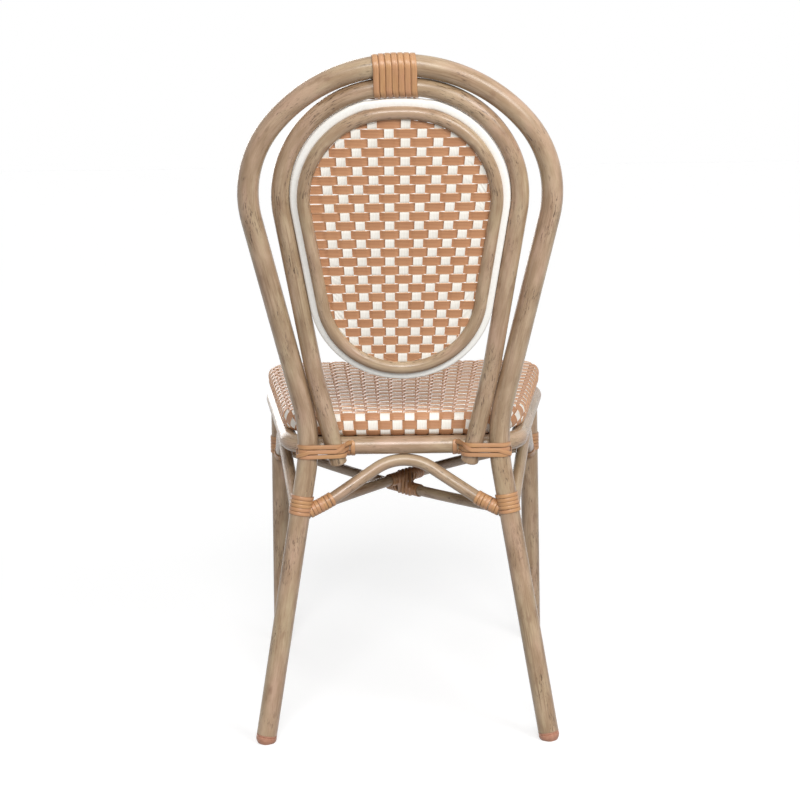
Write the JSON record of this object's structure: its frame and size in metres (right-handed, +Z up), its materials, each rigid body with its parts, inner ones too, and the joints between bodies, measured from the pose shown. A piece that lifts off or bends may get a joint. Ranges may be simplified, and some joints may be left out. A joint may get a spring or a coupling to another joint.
{
  "type": "bistro side chair",
  "caption": "Armless bistro chair of bent painted tube with a woven oval back, woven seat, cane bindings, bowed stretchers and crossed braces.",
  "frame": {"origin": "on the floor, under the middle of the chair's box", "axes": "+Z up, +Y to the rear of the chair, +X to the sitter's left"},
  "size_m": [0.4216, 0.5604, 0.9353],
  "materials": {
    "painted_tube": "satin paint with brushed cane knots and streaks",
    "white_cane": "smooth, soft sheen",
    "woven_cane": "woven round strand, soft sheen",
    "binding_cane": "flat wrapped strip, satin",
    "glide_plastic": "moulded, matt",
    "zinc_steel": "zinc plated"
  },
  "bodies": {
    "root": {"rear_leg_back_hoop": "painted_tube", "inner_back_hoop": "painted_tube", "oval_back_frame": "painted_tube", "seat_ring": "painted_tube", "front_leg_left": "painted_tube", "front_leg_right": "painted_tube", "rear_arch": "painted_tube", "front_arch": "painted_tube", "side_arch_left": "painted_tube", "side_arch_right": "painted_tube", "cross_brace_over": "painted_tube", "cross_brace_under": "painted_tube", "white_back_ring": "white_cane", "back_weave_panel": "woven_cane", "seat_pad": "woven_cane", "top_binding": "binding_cane", "rear_leg_binding_left": "binding_cane", "rear_leg_binding_right": "binding_cane", "front_leg_binding_left": "binding_cane", "front_leg_binding_right": "binding_cane", "rail_binding_left": "binding_cane", "rail_binding_right": "binding_cane", "cross_binding": "binding_cane", "rear_foot_glide_left": "glide_plastic", "rear_foot_glide_right": "glide_plastic", "front_foot_glide_left": "glide_plastic", "front_foot_glide_right": "glide_plastic", "inner_hoop_plug_left": "glide_plastic", "inner_hoop_plug_right": "glide_plastic", "seat_screw_1": "zinc_steel", "seat_screw_2": "zinc_steel", "seat_screw_3": "zinc_steel", "seat_screw_4": "zinc_steel"}
  },
  "joints": []
}
